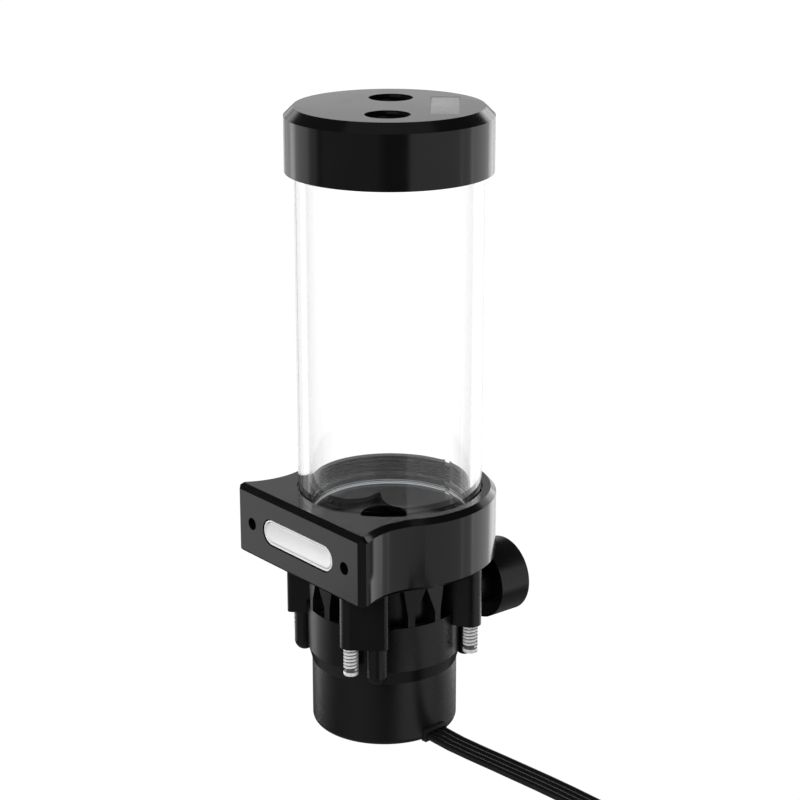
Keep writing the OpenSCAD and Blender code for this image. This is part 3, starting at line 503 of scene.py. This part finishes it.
# One stud is modelled on the Z axis. Its point is inset at the top, and the core is drawn up from
# there. The attribute thread_depth is 0 on the crests and 1 at the root.
thread = ridge("stud_thread", stud_root_r - overlap, stud_r, stud_pitch, thread_z, thread_turns,
               steps=32, flat=0.3)
bpy.ops.object.select_all(action="DESELECT")
bpy.ops.mesh.primitive_cylinder_add(vertices=48, radius=stud_r, depth=point_l,
                                    location=(0, 0, point_l / 2))
stud = bpy.context.object
bpy.ops.object.transform_apply(location=True, rotation=True, scale=True)
bpy.ops.object.mode_set(mode="EDIT")
bpy.ops.mesh.select_mode(type="FACE")
bpy.ops.mesh.select_all(action="DESELECT")
bpy.ops.object.mode_set(mode="OBJECT")
for face in stud.data.polygons:
    face.select = face.normal.z > 0.9
bpy.ops.object.mode_set(mode="EDIT")
bpy.ops.mesh.inset(thickness=stud_r - stud_root_r, depth=0)
bpy.ops.mesh.extrude_region_move(
    TRANSFORM_OT_translate={"value": (0, 0, stud_length - point_l)})
bpy.ops.object.mode_set(mode="OBJECT")
bevel = stud.modifiers.new("end", "BEVEL")
bevel.width = 0.00022
bevel.segments = 3
bevel.limit_method = "ANGLE"
bpy.ops.object.modifier_apply(modifier="end")
thread.select_set(True)
stud.select_set(True)
bpy.context.view_layer.objects.active = stud
bpy.ops.object.join()
depth = stud.data.attributes.new("thread_depth", "FLOAT", "POINT")
for v, value in zip(stud.data.vertices, depth.data):
    sunk = (stud_r - math.hypot(v.co.x, v.co.y)) / (stud_r - stud_root_r)
    value.value = min(1, max(0, sunk))
bpy.ops.object.shade_smooth_by_angle(angle=math.radians(35))
paint(stud, thread_zinc)
for k, stud in enumerate(copies(stud, "threaded_stud", stud_count)):
    turn = math.radians(stud_turn + 360 / stud_count * k)
    set_down(stud, (stud_circle_r * math.sin(turn), -stud_circle_r * math.cos(turn), stud_low[2]))
    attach(stud, "pump")
    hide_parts("mounting_studs")


# ---- Base block ----
# Turned and milled from black acetal. Its face is a mounting plate with two tapped holes, and the
# bore in its top takes the tube.

acetal = finish("turned_acetal", (0.0022, 0.0022, 0.0023), (0.0036, 0.0036, 0.0038),
                (0.13, 0.18), 2600, 0.04)
paint(nodes["base_block"], acetal)


# ---- Badge ----
# A cast oval plate with a blank middle, glued in a pocket of the block's face. Two raised rims run
# round it, with a groove between them whose floor is painted darker as painted shade.

badge_l, badge_h, badge_t = 0.0303, 0.00695, 0.00072
# Each step is the flat before it, and how far it then falls or rises.
badge_steps = ((0.00042, -0.0004), (0.00026, 0.0003), (0.00024, -0.0002))
step_slope = 0.00009
groove_top = 0.00036
back_skin = 0.0001
badge_silver = finish("badge_silver", (0.8, 0.8, 0.81), (0.9, 0.9, 0.91), (0.34, 0.46), 4200, 0.25,
                      metallic=0.2)
paint(nodes["badge_plate"], badge_silver)
badge_low, badge_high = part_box("badge_plate")
bpy.ops.object.select_all(action="DESELECT")
bpy.ops.mesh.primitive_circle_add(vertices=96, radius=badge_h / 2, fill_type="NGON",
                                  location=(0, 0, 0))
badge = bpy.context.object
badge.name = "cast_badge"
for v in badge.data.vertices:
    v.co.x += math.copysign((badge_l - badge_h) / 2, v.co.x)
bpy.ops.object.mode_set(mode="EDIT")
bpy.ops.mesh.select_mode(type="FACE")
bpy.ops.mesh.select_all(action="SELECT")
bpy.ops.mesh.extrude_region_move(TRANSFORM_OT_translate={"value": (0, 0, badge_t)})
for margin, step in badge_steps:
    bpy.ops.mesh.inset(thickness=margin, depth=0)
    bpy.ops.mesh.inset(thickness=step_slope, depth=0)
    bpy.ops.transform.translate(value=(0, 0, step))
bpy.ops.mesh.select_all(action="SELECT")
bpy.ops.mesh.normals_make_consistent(inside=False)
bpy.ops.object.mode_set(mode="OBJECT")
soft_edge = badge.modifiers.new("cast_edges", "BEVEL")
soft_edge.width = 0.00008
soft_edge.segments = 2
soft_edge.limit_method = "ANGLE"
bpy.ops.object.modifier_apply(modifier="cast_edges")
badge_back = badge_high[1]
set_down(badge,
         ((badge_low[0] + badge_high[0]) / 2, badge_back, (badge_low[2] + badge_high[2]) / 2),
         Matrix.Rotation(math.radians(90), 4, "X"))
bpy.ops.object.shade_smooth_by_angle(angle=math.radians(40))
paint(badge, badge_silver)
# Painted shade: the groove's front-facing floor is painted a dark grey, unlike the silver round it.
groove_painted_shade = finish("badge_groove_painted_shade", (0.22, 0.22, 0.225), (0.3, 0.3, 0.305), (0.4, 0.5), 4200, 0.2)
badge.data.materials.append(groove_painted_shade)
groove_y = badge_back - (badge_t - groove_top)
for face in badge.data.polygons:
    if face.normal.y < -0.9 and groove_y < face.center.y < badge_back - back_skin:
        face.material_index = 1
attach(badge, "pump")
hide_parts("badge_plate")


# ---- Bore thread ----
# Fine turned rings of acetal round the foot of the tube, seen through its wall. They are a thin
# helix in the gap between tube and bore. They are painted a light, half metallic grey instead of
# the acetal's black: a painted highlight on the thread crests.

tube_low, tube_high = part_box("reservoir_tube")
tube_x, tube_y = (tube_low[0] + tube_high[0]) / 2, (tube_low[1] + tube_high[1]) / 2
bore_ring_foot_r, bore_ring_crest_r, bore_ring_pitch = 0.02514, 0.02502, 0.00125
bore_ring_z = tube_low[2] + 0.00105
bore_ring_turns = 5
# The rings begin and end where the block hides them from the camera.
bore_ring_start = -39
bore_thread = ridge("bore_thread", bore_ring_foot_r, bore_ring_crest_r, bore_ring_pitch,
                    bore_ring_z, bore_ring_turns, steps=96, flat=0.2, foot=0.34)
set_down(bore_thread, (tube_x, tube_y, 0), Matrix.Rotation(math.radians(bore_ring_start), 4, "Z"))
bpy.ops.object.shade_smooth_by_angle(angle=math.radians(40))
# Painted highlight: the rings are light grey and half metallic, though the acetal is black.
thread_painted_highlight = finish("thread_painted_highlight", (0.3, 0.3, 0.31), (0.42, 0.42, 0.43), (0.22, 0.3), 2600, 0.05,
                      metallic=0.6)
paint(bore_thread, thread_painted_highlight)
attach(bore_thread, "pump")


# ---- Reservoir tube and its seal ----
# Clear extruded acrylic, polished, with a groove for its rubber O-ring near the foot. It screws
# into the block, and the cap screws on to its top.

paint(nodes["tube_o_ring"], seal_rubber)

clear = bpy.data.materials.new("clear_acrylic")
clear.use_nodes = True
tree = clear.node_tree
glass = tree.nodes["Principled BSDF"]
glass.inputs["Base Color"].default_value = (1, 1, 1, 1)
glass.inputs["Transmission Weight"].default_value = 1
glass.inputs["IOR"].default_value = 1.49
haze = tree.nodes.new("ShaderNodeTexNoise")
haze.inputs["Scale"].default_value = 90
haze_place = tree.nodes.new("ShaderNodeTexCoord")
haze_range = tree.nodes.new("ShaderNodeMapRange")
haze_range.inputs["To Min"].default_value = 0
haze_range.inputs["To Max"].default_value = 0.0015
tree.links.new(haze_place.outputs["Object"], haze.inputs["Vector"])
tree.links.new(haze.outputs["Fac"], haze_range.inputs["Value"])
tree.links.new(haze_range.outputs[0], glass.inputs["Roughness"])
# Painted shade: the acrylic's colour turns grey towards grazing angles, to 0.55 at the very edge,
# standing in for the darker surroundings the wall would show there.
grazing = tree.nodes.new("ShaderNodeLayerWeight")
grazing.inputs["Blend"].default_value = 0.5
edge_painted_shade = tree.nodes.new("ShaderNodeValToRGB")
edge_painted_shade.color_ramp.elements[0].position = 0.3
edge_painted_shade.color_ramp.elements[0].color = (1, 1, 1, 1)
edge_painted_shade.color_ramp.elements[1].position = 0.9
edge_painted_shade.color_ramp.elements[1].color = (0.55, 0.55, 0.55, 1)
middle_painted_shade = edge_painted_shade.color_ramp.elements.new(0.5)
middle_painted_shade.color = (0.84, 0.84, 0.84, 1)
tree.links.new(grazing.outputs["Facing"], edge_painted_shade.inputs["Fac"])
tree.links.new(edge_painted_shade.outputs["Color"], glass.inputs["Base Color"])
paint(nodes["reservoir_tube"], clear)


# ---- Cut end of the tube ----
# The foot of the tube is sawn and its two edges are broken. The cut acrylic is white there, and
# the two thin rings are given a faint glow: painted light standing in for the light they catch.

edge_width = 0.00016
edge_lift = 0.00025
edge_inset = 0.00025
tube_wall = 0.003
tube_r = (tube_high[0] - tube_low[0]) / 2
cut_white_painted_glow = finish("cut_acrylic_painted_glow", (0.8, 0.8, 0.8), (0.92, 0.92, 0.92), (0.4, 0.55), 3000, 0.4)
cut_bsdf = cut_white_painted_glow.node_tree.nodes["Principled BSDF"]
# Painted light: a faint bluish emission makes the two rings glow, though they are no lamp.
cut_bsdf.inputs["Emission Color"].default_value = (0.9, 0.95, 1, 1)
cut_bsdf.inputs["Emission Strength"].default_value = 0.3
for k, edge_r in enumerate((tube_r - tube_wall + edge_inset, tube_r - edge_inset)):
    bpy.ops.object.select_all(action="DESELECT")
    bpy.ops.mesh.primitive_torus_add(major_radius=edge_r, minor_radius=edge_width,
                                     major_segments=256, minor_segments=12, location=(0, 0, 0))
    end_edge = bpy.context.object
    end_edge.name = "tube_end_edge_%d" % (k + 1)
    set_down(end_edge, (tube_x, tube_y, tube_low[2] + edge_lift))
    bpy.ops.object.shade_smooth_by_angle(angle=math.radians(60))
    paint(end_edge, cut_white_painted_glow)
    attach(end_edge, "tube")


# ---- Cap ----
# Turned from the same black acetal, with a thread that takes the tube's top and a rubber O-ring
# in its ceiling. A thin blank label plate is let into the top face.

paint(nodes["top_cap"], acetal)
paint(nodes["cap_o_ring"], seal_rubber)
label_grey = finish("label_grey", (0.5, 0.5, 0.505), (0.6, 0.6, 0.605), (0.24, 0.34), 3200, 0.1,
                    metallic=0.6)
paint(nodes["cap_label_plate"], label_grey)


# ---- Port threads ----
# Each of the cap's two ports has a G1/4 thread tapped into the acetal, for a fitting or a filling
# plug.

cap_ports = [mounts["cap_port_front"], mounts["cap_port_rear"]]
port_depth = cap_ports[0]["dims"]["length_mm"] / 1000
port_pitch = 0.00134
port_thread_z = cap_ports[0]["pos_m"][2] - port_depth + 0.0008
port_thread = ridge("port_ridge", 0.00595, 0.00545, port_pitch, port_thread_z, 4.4, steps=40)
bpy.ops.object.shade_smooth_by_angle(angle=math.radians(40))
paint(port_thread, acetal)
for port, port_thread in zip(cap_ports, copies(port_thread, "port_thread", len(cap_ports))):
    set_down(port_thread, (port["pos_m"][0], port["pos_m"][1], 0))
    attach(port_thread, "cap")
